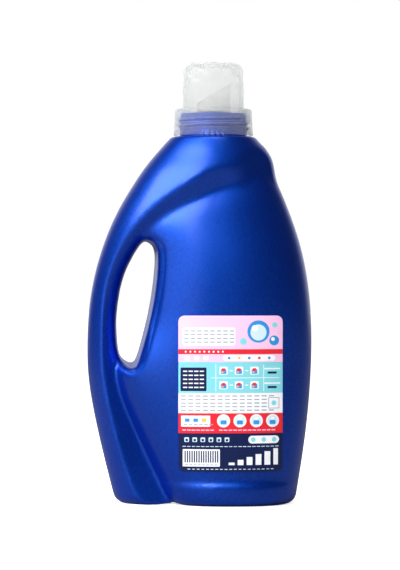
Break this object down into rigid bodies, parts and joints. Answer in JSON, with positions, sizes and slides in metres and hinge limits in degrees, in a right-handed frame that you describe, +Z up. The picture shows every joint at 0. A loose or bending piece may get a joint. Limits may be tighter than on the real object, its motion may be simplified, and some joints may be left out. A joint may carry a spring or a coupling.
{
  "type": "laundry detergent bottle",
  "caption": "Tall blow-moulded liquid detergent bottle with a hollow side handle, a pour spout in the neck, a translucent dosing cap and a label on each face.",
  "frame": {"origin": "on the table, under the middle of the bottle's width and depth", "axes": "+Z up, +X from the handle towards the body, -Y out of the pictured back"},
  "size_m": [0.1479, 0.0908, 0.2899],
  "materials": {
    "bottle_hdpe": "satin pearl",
    "spout_pp": "natural, slightly milky",
    "cap_pp": "milky translucent",
    "label_film": "printed film, semi-gloss"
  },
  "bodies": {
    "bottle_body": {"bottle": "bottle_hdpe", "pour_spout": "spout_pp", "back_label": "label_film", "front_label": "label_film"},
    "cap_body": {"dosing_cap": "cap_pp"}
  },
  "joints": [
    {"name": "cap_lift", "type": "slide", "parent": "bottle_body", "child": "cap_body", "axis": [0, 0, 1], "range_m": [0, 0.045]}
  ]
}
